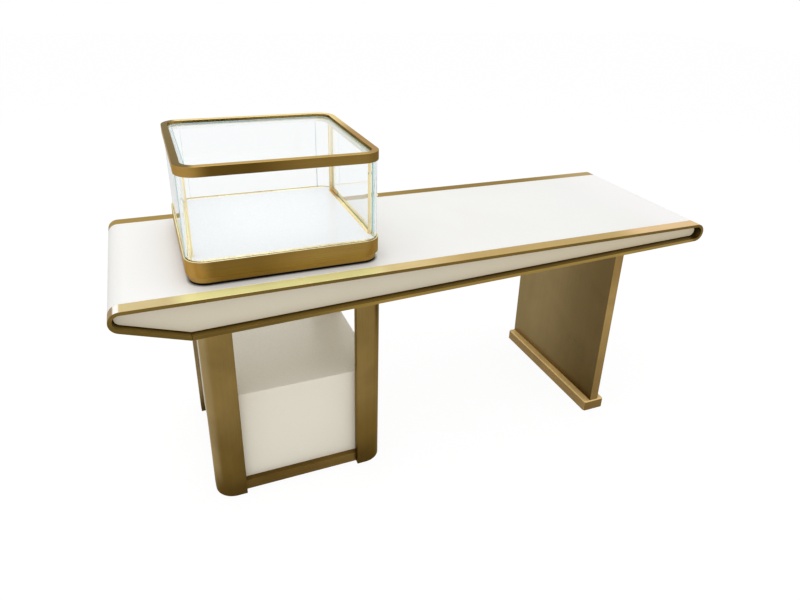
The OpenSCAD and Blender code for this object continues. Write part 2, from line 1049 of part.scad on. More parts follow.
// Upright strips behind the two glass joints of the left side
module joint_strips()
    color(brass_light)
        for (y = [flat_y0, flat_y1])
            block(
                [case_x0 + strip_inset, y - strip_w / 2, base_top],
                [case_x0 + strip_inset + strip_t, y + strip_w / 2, ring_z]
            );

// Two jambs and a sill in one piece. The door shuts against the jambs.
module door_surround()
    color(brass)
        difference() {
            union() {
                block(
                    [sill_x, flat_y0, deck_top],
                    [case_x1 - base_t - seat_gap, flat_y1, base_top]
                );
                for (y = [flat_y0, flat_y1 - jamb_w])
                    block([jamb_x - jamb_t, y, deck_top], [jamb_x, y + jamb_w, ring_z]);
            }
            lower_pin_bore();
            magnet(run_gap, past);
        }

// The magnet of the door catch, flush in the front jamb
module magnet(gap, extra) {
    translate([jamb_x - jamb_t - extra, flat_y0 + catch_in, magnet_z])
        rotate([0, 90, 0])
            cylinder(r = magnet_r + gap, h = jamb_t + 2 * extra);
}

module door_magnet()
    color(steel)
        magnet(0, 0);

// The steel disc on the door glass that the magnet holds
module catch_disc()
    color(steel)
        translate([case_door_x0, flat_y0 + catch_in, magnet_z])
            rotate([0, 90, 0])
                cylinder(r = disc_r, h = (door_t - door_glass_t) / 2);

module top_ring()
    color(brass)
        difference() {
            case_ring(0, ring_w, ring_z, ring_top);
            difference() {
                case_ring(glass_in - seat_gap, wall_in + seat_gap, ring_z - past, ring_z + groove_d);
                door_side(ring_z - 2 * past, ring_top);
            }
            translate([case_door_xm, case_hinge_y, ring_z - past])
                cylinder(r = case_pivot_r + run_gap, h = case_pin_depth + past);
        }

module ring_ledge()
    color(cream)
        case_ring(ledge_in, ledge_in + ledge_w, ring_z, ledge_top);

module glass_top()
    color(glass)
        case_slab(ledge_in, ledge_top, ledge_top + top_glass_t);

// The hinge stile, with one arm that clamps the glass at its foot and one at its head
module case_door_stile()
    color(brass)
        difference() {
            union() {
                block(
                    [case_door_x0, case_hinge_y - arm_len, case_door_z0],
                    [case_door_x1, case_hinge_y, case_door_z1]
                );
                translate([case_door_xm, case_hinge_y, case_door_z0])
                    cylinder(r = door_t / 2, h = case_door_z1 - case_door_z0);
            }
            block(
                [case_door_x0 - past, case_hinge_y - arm_len - past, case_door_z0 + arm_h],
                [case_door_x1 + past, case_hinge_y + door_t / 2 - stile_w, case_door_z1 - arm_h]
            );
            glass_leaf(seat_gap, past);
            for (z = [case_door_z0 - past, case_door_z1 - case_pin_depth])
                translate([case_door_xm, case_hinge_y, z])
                    cylinder(r = case_pivot_r + run_gap, h = case_pin_depth + past);
        }

// The door's pane, with a gap at its faces and its rear edge, and longer by extra
module glass_leaf(gap, extra) {
    half = door_glass_t / 2 + gap;
    block(
        [case_door_xm - half, case_door_y0 - extra, case_door_z0 - extra],
        [case_door_xm + half, case_glass_y1 + gap, case_door_z1 + extra]
    );
}

module case_door_glass()
    color(glass)
        glass_leaf(0, 0);

// A short turned pull on the outside of the glass
module case_door_pull()
    color(brass)
        translate([case_door_xm + door_glass_t / 2, flat_y0 + catch_in, case_door_zm])
            rotate([0, 90, 0]) {
                cylinder(r = pull_neck_r, h = pull_len);
                translate([0, 0, pull_len / 2])
                    cylinder(r = pull_r, h = pull_len / 2);
            }

module case_pivot_pins()
    color(steel)
        translate([case_door_xm, case_hinge_y, 0]) {
            collar = case_door_gap - seat_gap;
            pivot_pin(
                deck_top - case_pin_depth, case_door_z0 + case_pin_depth, case_pivot_r,
                base_top, collar
            );
            pivot_pin(
                case_door_z1 - case_pin_depth, ring_z + case_pin_depth, case_pivot_r,
                ring_z - collar, collar
            );
        }

front_band();
rear_band();
worktop();
front_fascia();
rear_fascia();
underside_left();
underside_right();
beam_rails();
beam_ribs();
post_front_left();
post_front_right();
post_rear_left();
post_rear_right();
steel_uprights();
fixing_plates();
fixing_bolts();
floor_glides();
plinth_long_rails();
plinth_side_rails();
cabinet_bottom();
cabinet_top();
cabinet_front();
cabinet_side_left();
cabinet_side_right();
inner_shelf();
shelf_pins();
cabinet_pivot_pins();
cabinet_door_left();
cabinet_door_right();
cabinet_knob_left();
cabinet_knob_right();
leg_cladding();
leg_core();
foot_bar();
leg_plate();
leg_bolts();
case_gasket();
case_step();
case_base_band();
case_deck();
display_floor();
floor_border();
glass_front();
glass_left();
glass_rear();
glass_corner_rear_left();
glass_corner_rear_right();
joint_strips();
door_surround();
top_ring();
ring_ledge();
glass_top();
case_door_stile();
case_door_glass();
case_door_pull();
case_pivot_pins();
door_magnet();
catch_disc();
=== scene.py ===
"""Looks of the jewellery display counter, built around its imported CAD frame."""
import json
import math

import bmesh
import bpy
from mathutils import Matrix, Vector


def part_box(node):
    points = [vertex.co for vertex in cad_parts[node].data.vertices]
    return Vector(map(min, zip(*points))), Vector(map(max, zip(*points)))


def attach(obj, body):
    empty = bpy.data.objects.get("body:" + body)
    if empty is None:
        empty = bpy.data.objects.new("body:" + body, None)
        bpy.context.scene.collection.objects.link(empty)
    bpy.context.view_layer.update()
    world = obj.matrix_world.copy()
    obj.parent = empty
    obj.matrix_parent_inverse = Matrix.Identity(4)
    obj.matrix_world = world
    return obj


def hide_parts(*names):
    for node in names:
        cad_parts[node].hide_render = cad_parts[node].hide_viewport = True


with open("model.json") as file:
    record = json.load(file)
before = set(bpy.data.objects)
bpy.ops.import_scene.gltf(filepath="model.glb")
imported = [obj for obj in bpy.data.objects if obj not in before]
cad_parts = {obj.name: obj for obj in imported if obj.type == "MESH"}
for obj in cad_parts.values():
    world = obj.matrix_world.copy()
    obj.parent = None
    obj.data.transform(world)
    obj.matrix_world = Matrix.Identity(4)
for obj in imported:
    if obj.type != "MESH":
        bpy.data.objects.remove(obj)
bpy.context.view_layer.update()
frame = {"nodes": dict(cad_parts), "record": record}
nodes = frame["nodes"]
node_body = {n: b for b, ns in frame["record"]["behaviour"]["bodies"].items() for n in ns}
node_slot = {s["node"]: s["material_slot"] for s in frame["record"]["subparts"]}


# ---- Measures in millimetres, as in part.scad. Plans are x0, y0, x1, y1.

MM = 0.001  # Metres in a millimetre
QUARTER = math.pi / 2

GLIDE_H = 2
SHEET_T = 3
BEAM_GAP = 0.2  # Between the beam and the tops of the posts and the leg

# The beam's outline is two noses and a kink below, as (x, z) and radius
NOSE_L, NOSE_L_R = Vector((-968, 746)), 32
NOSE_R, NOSE_R_R = Vector((967, 745)), 33
KINK = Vector((-804, 658))
BAND_T, BAND_W = 11, 44
Y_BAND, Y_CREAM = 337.5, 293.5
WORKTOP_T, WORKTOP_H = 12, 778

PED_X0, PED_Y0, PED_X1, PED_Y1 = -784, -258.5, -222, 321.5
POST_W, POST_END, POST_R = 92, 26, 62

LEG_PLAN, LEG_R = (649, -293.5, 685, 293.5), 1.4
FOOT_PLAN, FOOT_R = (622, -297.5, 712, 297.5), 9
FOOT_TOP, FOOT_EDGE_R = 44, 7

CASE, CASE_R = (-795.5, -268, -232.5, 285), 57
STEP_Z, BASE_Z, BASE_TOP, RING_Z, RING_TOP = 785, 803.5, 851, 1089, 1117.5
DECK_TOP, GLASS_TOP, LEDGE_TOP, LID_TOP = 845, 1098.7, 1103, 1109
# Distances in from the showcase's outline
BASE_SHEET, STEP_IN, GASKET_IN, GASKET_END = 4, 8, 10, 26
RING_IN, LEDGE_IN, STEP_END = 20, 20.3, 30
GLASS_IN, WALL_IN = 4.3, 10.3  # A pane's outer and inner face
GLASS_GAP = 0.3  # Between a bent pane and the joint at its end


# ---- Camera and objects

def add_object(name, data):
    obj = bpy.data.objects.new(name, data)
    bpy.context.scene.collection.objects.link(obj)
    return obj


def place_camera():
    """The camera as it was fitted to the photograph, in radians and metres."""
    pitch, turn, roll = -0.4337, 0.4266, 0.0422
    side = Vector((math.cos(turn), -math.sin(turn), 0))
    ahead = Vector((math.sin(turn), math.cos(turn), 0))
    up = Vector((0, 0, 1))
    look = math.cos(pitch) * ahead + math.sin(pitch) * up
    top = -math.sin(pitch) * ahead + math.cos(pitch) * up
    x_axis = math.cos(roll) * side + math.sin(roll) * top
    y_axis = -math.sin(roll) * side + math.cos(roll) * top
    data = bpy.data.cameras.new("camera")
    data.sensor_width = 36
    data.lens = 28.91
    data.shift_x = -0.0278
    data.shift_y = -0.0490
    camera = add_object("camera", data)
    axes = Matrix((x_axis, y_axis, -look)).transposed().to_4x4()
    axes.translation = Vector((-0.8568, -1.9283, 1.6058))
    camera.matrix_world = axes
    bpy.context.scene.camera = camera


place_camera()


# ---- Materials

WHITE = (1, 1, 1, 1)
BRASS_RIM = (0.78, 0.68, 0.50, 1)  # Tint of brass's reflections seen aslant
FLOAT_GLASS_IOR = 1.46


def linear(r, g, b):
    """A colour given as 0 to 255 on screen, as the shader wants it."""
    return tuple(
        (c / 255 / 12.92 if c <= 10 else ((c / 255 + 0.055) / 1.055) ** 2.4) for c in (r, g, b)
    ) + (1.0,)


class Shader:
    """A material's node tree, written from top to bottom."""

    def __init__(self, name):
        self.mat = bpy.data.materials.new(name)
        self.mat.use_nodes = True
        self.tree = self.mat.node_tree
        self.main = self.tree.nodes["Principled BSDF"]
        self.place = self.add("ShaderNodeTexCoord").outputs["Object"]

    def put(self, socket, value):
        """Links a socket to another one, or sets its value."""
        if isinstance(value, bpy.types.NodeSocket):
            self.tree.links.new(value, socket)
        else:
            socket.default_value = value

    def add(self, kind, settings=None, **inputs):
        """A node. Its inputs are named, with _ for a space, or numbered as i0, i1 and so on."""
        node = self.tree.nodes.new(kind)
        for key, value in (settings or {}).items():
            setattr(node, key, value)
        for key, value in inputs.items():
            index = int(key[1:]) if key[1:].isdigit() else key.replace("_", " ")
            self.put(node.inputs[index], value)
        return node

    def use(self, **inputs):
        """Sets or links inputs of the main shader."""
        for key, value in inputs.items():
            self.put(self.main.inputs[key.replace("_", " ")], value)

    def maths(self, operation, *values):
        inputs = {f"i{k}": value for k, value in enumerate(values)}
        return self.add("ShaderNodeMath", {"operation": operation}, **inputs).outputs[0]

    def stretched(self, scales):
        node = self.add("ShaderNodeMapping", Vector=self.place)
        node.inputs["Scale"].default_value = scales
        return node.outputs[0]

    def noise(self, place, scale, detail=2.0, roughness=0.5, distortion=0.0):
        node = self.add(
            "ShaderNodeTexNoise", Vector=place, Scale=scale, Detail=detail,
            Roughness=roughness, Distortion=distortion,
        )
        return node.outputs["Fac"]

    def spread(self, value, low, high, to_low, to_high, smooth=False):
        """Maps low and high to to_low and to_high, and holds these beyond."""
        settings = {"clamp": True, "interpolation_type": "SMOOTHSTEP" if smooth else "LINEAR"}
        node = self.add(
            "ShaderNodeMapRange", settings, i0=value, i1=low, i2=high, i3=to_low, i4=to_high
        )
        return node.outputs[0]

    def vary(self, noise, low, high, smooth=False):
        """Maps the range in which most of a noise lies to low and high."""
        return self.spread(noise, 0.3, 0.7, low, high, smooth)

    def blend(self, factor, a, b, mode="MIX"):
        settings = {"data_type": "RGBA", "blend_type": mode}
        return self.add("ShaderNodeMix", settings, i0=factor, i6=a, i7=b).outputs[2]

    def along(self, axis):
        node = self.add("ShaderNodeSeparateXYZ", Vector=self.place)
        return node.outputs["XYZ".index(axis)]

    def lay_painted_light(self, colour, painted_lights):
        """Lays painted light and shade over a colour: each is (axis, from, to, colour there and
        beyond), in metres.
        """
        for axis, start, end, shade in painted_lights:
            amount = self.spread(self.along(axis), start, end, 0.0, 1.0, smooth=True)
            colour = self.blend(amount, colour, linear(*shade))
        return colour

    def bump(self, height, strength, distance):
        node = self.add("ShaderNodeBump", Strength=strength, Distance=distance, Height=height)
        return node.outputs[0]

    def mix_out(self, share, shader):
        """Sends out the main shader mixed with a share of another one."""
        mix = self.add("ShaderNodeMixShader", i0=share, i1=self.main.outputs[0], i2=shader)
        self.put(self.tree.nodes["Material Output"].inputs["Surface"], mix.outputs[0])


def brushed(axis, along, across):
    """Scales that draw a noise out along one axis."""
    return tuple(along if a == axis else across for a in "XYZ")


def brass(name, tone, brush="X", painted_lights=(), rough=0.33, patina=0.16, streak=0.09, metal=1.0):
    """Brushed brass. Its tone drifts by patina in clouds and by streak along the brush."""
    s = Shader(name)
    lines = s.noise(s.stretched(brushed(brush, 4, 420)), 1.0, 3.0, 0.65)
    bands = s.noise(s.stretched(brushed(brush, 1.5, 70)), 1.0, 2.0, 0.5)
    clouds = s.noise(s.place, 5.5, 3.0, 0.55, 0.4)
    tint = s.maths("ADD", s.vary(clouds, 1 - patina, 1 + patina), s.vary(lines, -streak, streak))
    tint = s.maths("ADD", tint, s.vary(bands, -streak * 0.6, streak * 0.6))
    grey = s.add("ShaderNodeCombineColor", i0=tint, i1=tint, i2=tint).outputs[0]
    s.use(
        Base_Color=s.blend(1.0, s.lay_painted_light(linear(*tone), painted_lights), grey, "MULTIPLY"),
        Metallic=metal,
        Roughness=s.maths(
            "ADD", s.vary(lines, rough - 0.05, rough + 0.05), s.vary(clouds, -0.03, 0.04)
        ),
        Specular_Tint=BRASS_RIM,
        Normal=s.bump(lines, 0.10, 0.0004),
    )
    return s.mat


def painted_contact_shadow(s):
    """Painted contact shadow on the worktop: how dark it is, most at the showcase's gasket, not at
    all past its outline.
    """
    x0, y0, x1, y1 = CASE
    away = []
    for axis, low, high in (("X", x0, x1), ("Y", y0, y1)):
        middle, straight = (low + high) / 2 * MM, ((high - low) / 2 - CASE_R) * MM
        offset = s.maths("ABSOLUTE", s.maths("SUBTRACT", s.along(axis), middle))
        away.append(s.maths("MAXIMUM", s.maths("SUBTRACT", offset, straight), 0.0))
    square = s.maths("MULTIPLY_ADD", away[0], away[0], s.maths("MULTIPLY", away[1], away[1]))
    distance = s.maths("SQRT", square)
    return s.spread(distance, (CASE_R - GASKET_IN) * MM, CASE_R * MM, 0.85, 0.0)


def lacquer(name, tone, deep, rough=0.34, painted_lights=(), foot=False):
    """Satin lacquer on board, drifting from tone to deep. foot paints a contact shadow on it round
    the showcase.
    """
    s = Shader(name)
    clouds = s.noise(s.place, 2.2, 2.0, 0.5, 0.3)
    grain = s.noise(s.place, 240.0, 2.0, 0.6)
    peel = s.noise(s.place, 620.0, 1.0, 0.5)
    colour = s.blend(s.vary(clouds, 0.0, 1.0, smooth=True), linear(*tone), linear(*deep))
    colour = s.lay_painted_light(colour, painted_lights)
    specks = s.spread(grain, 0.35, 0.65, 0.0, 0.05)
    colour = s.blend(specks, colour, linear(*[c * 0.8 for c in deep]))
    # Painted shadow: dark brown laid round the showcase's foot
    if foot:
        colour = s.blend(painted_contact_shadow(s), colour, linear(30, 25, 18))
    s.use(Base_Color=colour, Roughness=s.vary(grain, rough - 0.03, rough + 0.04))
    s.use(Normal=s.bump(peel, 0.02, 0.0004))
    return s.mat


def plywood(name):
    s = Shader(name)
    rings = s.noise(s.stretched((3, 40, 40)), 2.0, 5.0, 0.6, 1.2)
    plies = s.add(
        "ShaderNodeTexWave", {"bands_direction": "Z"},
        Vector=s.place, Scale=120.0, Distortion=0.6, Detail=1.0,
    ).outputs["Fac"]
    colour = s.blend(rings, linear(206, 172, 128), linear(176, 138, 94))
    colour = s.blend(s.spread(plies, 0.4, 0.6, 0.0, 0.35), colour, linear(140, 104, 66))
    s.use(Base_Color=colour, Roughness=s.spread(rings, 0.2, 0.8, 0.55, 0.7))
    s.use(Normal=s.bump(rings, 0.2, 0.0004))
    return s.mat


def steel(name):
    """Zinc-plated steel with a faint spangle."""
    s = Shader(name)
    lines = s.noise(s.stretched((60, 60, 500)), 1.0, 3.0, 0.6)
    spangle = s.spread(s.noise(s.place, 90.0, 2.0, 0.5), 0.35, 0.65, 0.0, 1.0)
    colour = s.blend(spangle, linear(168, 171, 176), linear(138, 142, 148))
    s.use(Base_Color=colour, Metallic=1.0, Roughness=s.vary(lines, 0.3, 0.42))
    s.use(Normal=s.bump(lines, 0.08, 0.0004))
    return s.mat


def moulded(name, tone, rough):
    """Moulded rubber or nylon with a fine sparked grain."""
    s = Shader(name)
    dots = s.noise(s.place, 900.0, 2.0, 0.6)
    lighter = linear(*[c + 8 for c in tone])
    colour = s.blend(s.spread(dots, 0.35, 0.65, 0.0, 0.4), linear(*tone), lighter)
    s.use(Base_Color=colour, Roughness=s.vary(dots, rough - 0.05, rough + 0.05))
    s.use(Normal=s.bump(dots, 0.15, 0.0002), Specular_IOR_Level=0.15)
    return s.mat


def glass(name, tint, rim):
    """Float glass, greener aslant. It lets lamplight through, so what is behind it is lit."""
    s = Shader(name)
    ripple = s.noise(s.place, 7.0, 1.0, 0.4)
    aslant = s.add("ShaderNodeLayerWeight", Blend=0.5).outputs["Facing"]
    colour = s.blend(s.maths("POWER", aslant, 5.0), linear(*tint), linear(*rim))
    s.use(Base_Color=colour, Roughness=0.0, IOR=FLOAT_GLASS_IOR, Transmission_Weight=1.0)
    s.use(Normal=s.bump(ripple, 0.01, 0.0005))
    ray = s.add("ShaderNodeLightPath").outputs
    pass_by = s.maths("MAXIMUM", ray["Is Shadow Ray"], ray["Is Diffuse Ray"])
    s.mix_out(pass_by, s.add("ShaderNodeBsdfTransparent", Color=WHITE).outputs[0])
    return s.mat


def glass_edge(name):
    """The sawn and polished edge of a pane, which gathers the glass's green."""
    s = Shader(name)
    rub = s.noise(s.place, 300.0, 2.0, 0.5)
    colour = s.blend(rub, linear(112, 184, 188), linear(156, 208, 208))
    s.use(Base_Color=colour, Roughness=s.vary(rub, 0.12, 0.22), IOR=FLOAT_GLASS_IOR)
    return s.mat


MATS = {
    # Outward faces of the front band, painted light: a white painted highlight on the left nose,
    # the top brightest in front of the showcase and at the right end, darker on the right nose's
    # rim, a plainer tone below the top
    "band": brass("brass_band_painted_light", (150, 124, 84), "X", [
        ("X", -0.986, -0.981, (252, 249, 242)), ("X", -0.972, -0.967, (210, 190, 135)),
        ("X", -0.86, -0.78, (255, 248, 174)), ("X", -0.30, -0.22, (224, 198, 136)),
        ("X", -0.18, 0.06, (190, 159, 92)), ("X", 0.60, 0.74, (232, 196, 142)),
        ("X", 0.975, 0.990, (126, 100, 52)), ("Z", 0.774, 0.750, (170, 140, 84)),
    ], patina=0.05, streak=0.04, rough=0.45, metal=0.2),
    # Side faces of the front band, a darker copy of its brass, painted shade: darkest along the
    # upper run, lighter along the middle of the lower run, darker at the right nose
    "band_face_painted_light": brass("brass_band_face_painted_light", (102, 82, 34), "X", [
        ("X", -0.62, -0.10, (156, 128, 62)), ("X", 0.10, 0.50, (162, 134, 68)),
        ("X", 0.93, 0.97, (116, 92, 40)), ("Z", 0.742, 0.764, (114, 91, 42)),
    ], metal=0.8),
    # Inward faces and kink ends of both bands, a darker copy of the brass, painted shade: darker
    # still inside the right nose and under the upper run
    "band_in_painted_shade": brass("brass_band_in_painted_shade", (113, 88, 27), "X", [
        ("X", 0.92, 0.97, (72, 52, 18)), ("Z", 0.742, 0.764, (60, 44, 16)),
    ], metal=0.4),
    # Rear band's outward faces, painted light: darker in the middle, lighter towards the right;
    # its side faces a darker copy, painted shade
    "rear_band": brass("brass_rear_band_painted_light", (174, 148, 90), "X", [
        ("X", -0.1, 0.2, (150, 126, 76)), ("X", 0.6, 0.9, (190, 168, 126)),
    ], patina=0.06, streak=0.05),
    "rear_face_painted_shade": brass("brass_rear_face_painted_shade", (140, 115, 62), "X"),
    # Posts, painted light: darker towards the foot, a lighter painted reflection on the
    # left-facing faces, darker at the right-hand ends
    "post": brass("brass_post_painted_light", (134, 110, 62), "Z", [
        ("Z", 0.34, 0.12, (108, 86, 41)), ("X", -0.758, -0.778, (152, 132, 94)),
        ("X", -0.242, -0.226, (116, 92, 46)), ("Z", 0.14, 0.01, (86, 66, 28)),
    ], streak=0.05),
    # Plinth rails, painted light: lighter from the middle towards the right
    "plinth": brass("brass_plinth_painted_light", (102, 80, 38), "X", [
        ("X", -0.60, -0.35, (124, 99, 52)),
    ]),
    # Broad faces of the leg's cladding, painted light: darker towards the bottom, lighter towards
    # the rear
    "slab": brass("brass_slab_painted_light", (110, 91, 57), "Z", [
        ("Z", 0.26, 0.03, (88, 69, 34)), ("Y", -0.27, 0.16, (142, 123, 85)),
    ], metal=0.9, streak=0.045, patina=0.1),
    # Narrow edges of the cladding, another tone of its brass, painted light: lighter below the
    # top, darker towards the bottom
    "slab_edge_painted_light": brass("brass_slab_edge_painted_light", (144, 115, 65), "Z", [
        ("Z", 0.62, 0.50, (160, 131, 77)), ("Z", 0.45, 0.10, (136, 108, 60)),
    ], metal=0.7, streak=0.05),
    # The foot bar's brass in three tones, painted light: mid on its sides, much lighter on top,
    # darker on its ends
    "foot": brass("brass_foot", (158, 130, 81), "Y", metal=0.6, rough=0.4),
    "foot_top": brass(
        "brass_foot_top", (234, 200, 132), "Y", metal=0.1, rough=0.4, streak=0.05
    ),
    "foot_end_painted_shade": brass("brass_foot_end_painted_shade", (124, 98, 54), "X", metal=0.8),
    # Outer faces of the top ring, painted light: a painted highlight at the left corner, dark
    # beside it, lighter in the middle, darker towards the right
    "ring": brass("brass_ring_painted_light", (176, 139, 72), "X", [
        ("X", -0.78, -0.70, (94, 71, 27)), ("X", -0.62, -0.40, (134, 107, 52)),
        ("X", -0.29, -0.24, (118, 93, 46)),
    ], patina=0.08, streak=0.06),
    # Top faces of the top ring, their own tone, painted light: dark on the left rail, a bright
    # painted reflection along the rear, mid-toned elsewhere
    "ring_top": brass("brass_ring_top", (98, 84, 54), "X", [
        ("X", -0.78, -0.74, (196, 166, 102)), ("X", -0.29, -0.26, (176, 142, 98)),
        ("Y", -0.05, 0.24, (253, 232, 170)), ("X", -0.745, -0.765, (112, 96, 68)),
    ], patina=0.06, streak=0.05),
    # Base band of the showcase, painted light: a painted highlight at the left corner, darker
    # beside it, lighter towards the right
    "base": brass("brass_base_painted_light", (182, 143, 74), "X", [
        ("X", -0.78, -0.72, (122, 95, 42)), ("X", -0.62, -0.42, (154, 124, 62)),
    ], patina=0.08, streak=0.06),
    # The step under the base band, brass made lighter, painted light: light at the left corner,
    # darker beside it, lighter towards the right
    "step": brass("brass_step_painted_light", (176, 140, 74), "X", [
        ("X", -0.78, -0.70, (128, 98, 40)), ("X", -0.60, -0.40, (160, 126, 60)),
    ], patina=0.08, streak=0.06, metal=0.8),
    # A near-white copy of the brass for the base band's upward faces and the floor's border,
    # painted light
    "trim": brass("brass_trim_painted_light", (250, 238, 196), "Y", rough=0.28),
    "case_trim": brass("brass_case_trim", (246, 226, 172), "Z", rough=0.28),
    # Worktop cream, painted light: lighter towards the left, back to the plain tone on the left
    # nose, lighter at the right end; foot=True paints the contact shadow round the showcase
    "worktop": lacquer("lacquer_worktop_painted_light", (246, 246, 243), (242, 241, 237), painted_lights=[
        ("X", -0.72, -0.82, (251, 251, 249)), ("X", -0.95, -0.985, (243, 242, 238)),
        ("X", 0.7, 0.95, (253, 251, 249)),
    ], foot=True),
    # Beam boards: the cream made darker than the worktop's, painted shade, turning yellower
    # towards the right, painted light
    "fascia": lacquer("lacquer_fascia_painted_shade", (214, 205, 183), (210, 200, 177), painted_lights=[
        ("X", -0.4, 0.9, (218, 204, 174)),
    ]),
    "cream": lacquer("lacquer_cream", (232, 224, 204), (226, 217, 195)),
    "cabinet": lacquer("lacquer_cabinet", (232, 226, 210), (226, 219, 201)),
    # Shelf top under the beam: the cabinet's cream made lighter, painted light
    "shelf": lacquer("lacquer_shelf_painted_light", (254, 251, 240), (254, 251, 239), rough=0.28),
    # The ledge under the glass top: near white, a painted reflection, and cream on the right rail
    "ledge": lacquer("ledge_painted_reflection", (250, 251, 250), (246, 248, 247), rough=0.4, painted_lights=[
        ("X", -0.30, -0.28, (226, 218, 190)),
    ]),
    "floor": lacquer("display_floor_satin", (247, 250, 252), (247, 250, 252), rough=0.25),
    "plywood": plywood("plywood"),
    "steel": steel("zinc_steel"),
    # Near-black rubber for the showcase's gasket, darker than rubber is, so that it stands in for
    # the contact shadow under the showcase: painted shade
    "rubber": moulded("rubber", (4, 3, 2), 0.8),
    "nylon": moulded("nylon", (36, 36, 40), 0.5),
    "glass": glass("glass", (253, 254, 254), (235, 250, 249)),
    "bent": glass("glass_bent", (253, 254, 254), (120, 190, 188)),
    "edge": glass_edge("glass_edge"),
}


# ---- Making pieces

def finish_piece(obj, node, material, smooth=32, sharp_only=False):
    """Gives a piece its node's body and its materials, hides the node, and shades it smooth with
    crisp creases.
    """
    mesh = obj.data
    mesh.materials.clear()
    for name in [material] if isinstance(material, str) else material:
        mesh.materials.append(MATS[name])
    mesh.polygons.foreach_set("use_smooth", [True] * len(mesh.polygons))
    mesh.set_sharp_from_angle(angle=math.radians(smooth))
    if not sharp_only:
        weigh = obj.modifiers.new("weigh", "WEIGHTED_NORMAL")
        weigh.keep_sharp = True
    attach(obj, node_body[node])
    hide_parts(node)
    return obj


def paint(obj, slot_of):
    """Gives every face one of the piece's materials, from the face's number and the face."""
    for i, face in enumerate(obj.data.polygons):
        face.material_index = int(slot_of(i, face))


def new_piece(name, verts, faces):
    mesh = bpy.data.meshes.new(name)
    mesh.from_pydata([tuple(MM * c for c in v) for v in verts], [], faces)
    bm = bmesh.new()
    bm.from_mesh(mesh)
    bmesh.ops.recalc_face_normals(bm, faces=bm.faces)
    bm.to_mesh(mesh)
    bm.free()
    return add_object(name, mesh)


def skin(name, loops, ring=False):
    """A mesh through closed loops of points, whose sides come before its ends.

    A ring joins its last loop to its first, and anything else is capped at both ends.
    """
    n, count = len(loops[0]), len(loops)
    verts = [p for loop in loops for p in loop]
    faces = []
    for i in range(count if ring else count - 1):
        a, b = i * n, (i + 1) % count * n
        faces += [(a + k, a + (k + 1) % n, b + (k + 1) % n, b + k) for k in range(n)]
    if not ring:
        faces += [tuple(range(n)), tuple(range((count - 1) * n, count * n))]
    return new_piece(name, verts, faces)


def sweep(start, end, steps):
    """Values in even steps from start to end, both included."""
    return [start + (end - start) * k / steps for k in range(steps + 1)]


def fillet(points, radii, steps=3):
    """A polygon with its corners rounded. A radius of 0 leaves a corner as it is."""
    made = []
    for i, (p, r) in enumerate(zip(points, radii)):
        if not r:
            made.append(p)
            continue
        a = (Vector(points[i - 1]) - Vector(p)).normalized()
        b = (Vector(points[(i + 1) % len(points)]) - Vector(p)).normalized()
        half = a.angle(b) / 2
        middle = Vector(p) + (a + b).normalized() * (r / math.sin(half))
        reach = r / math.tan(half)
        first, last = Vector(p) + a * reach - middle, Vector(p) + b * reach - middle
        whole = first.angle_signed(last)
        for k in range(steps + 1):
            spoke = first.copy()
            spoke.rotate(Matrix.Rotation(-whole * k / steps, 2))
            made.append(tuple(middle + spoke))
    return made


def rectangle(inset0, z0, inset1, z1):
    """Corners of a plain section, as points of (inset, z)."""
    return [(inset0, z0), (inset1, z0), (inset1, z1), (inset0, z1)]


def rounded_plan(plan, t, r, steps):
    """Points of a plan set in by t, its corners round, the same number whatever t and r are."""
    x0, y0, x1, y1 = plan[0] + t, plan[1] + t, plan[2] - t, plan[3] - t
    centres = (x1 - r, y1 - r), (x0 + r, y1 - r), (x0 + r, y0 + r), (x1 - r, y0 + r)
    return [
        (cx + r * math.cos(math.radians(d)), cy + r * math.sin(math.radians(d)))
        for (cx, cy), start in zip(centres, (0, 90, 180, 270))
        for d in sweep(start, start + 90, steps)
    ]


def plan_loops(plan, section):
    """Loops for skin: plan(t) is the outline at an inset, section is points of (inset, z)."""
    return [[(x, y, z) for x, y in plan(t)] for t, z in section]


def beam_high_loops(plan, section):
    """As plan_loops, but a z of None stands for the height just below the beam's slope."""
    return [
        [(x, y, under_z(x) - BEAM_GAP if z is None else z) for x, y in plan(t)]
        for t, z in section
    ]


def dress(node, material, width=0.8, steps=2, shortest=9.0, crease=35):
    """A copy of a plain node with its edges eased: the sharp ones, and not the shortest."""
    name = node + "_eased"
    mesh = nodes[node].data.copy()
    mesh.name = name
    bm = bmesh.new()
    bm.from_mesh(mesh)
    bmesh.ops.remove_doubles(bm, verts=bm.verts, dist=1e-5)
    bmesh.ops.dissolve_limit(
        bm, angle_limit=math.radians(0.8), verts=bm.verts[:], edges=bm.edges[:],
        use_dissolve_boundaries=False,
    )
    edges = [
        e for e in bm.edges
        if e.is_manifold and e.calc_length() > shortest * MM
        and e.calc_face_angle(0) > math.radians(crease)
    ]
    bmesh.ops.bevel(
        bm, geom=edges, offset=width * MM, offset_type="OFFSET", segments=steps, profile=0.5,
        affect="EDGES", clamp_overlap=True,
    )
    bm.to_mesh(mesh)
    bm.free()
    return finish_piece(add_object(name, mesh), node, material)


def make_turned(node, axis, profile, steps=40):
    """A turned knob. Its profile is (distance from the low end of the node's box, radius)."""
    low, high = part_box(node)
    centre = [(a + b) / 2 / MM for a, b in zip(low, high)]
    centre["XYZ".index(axis)] = low["XYZ".index(axis)] / MM
    loops = []
    for along, r in profile:
        loop = []
        for k in range(steps):
            a = 2 * math.pi * k / steps
            u, v = r * math.cos(a), r * math.sin(a)
            point = {"X": (along, u, v), "Y": (u, along, v)}[axis]
            loop.append(tuple(c + d for c, d in zip(centre, point)))
        loops.append(loop)
    finish_piece(skin(node + "_turned", loops), node, "case_trim", smooth=50)


# ---- Beam

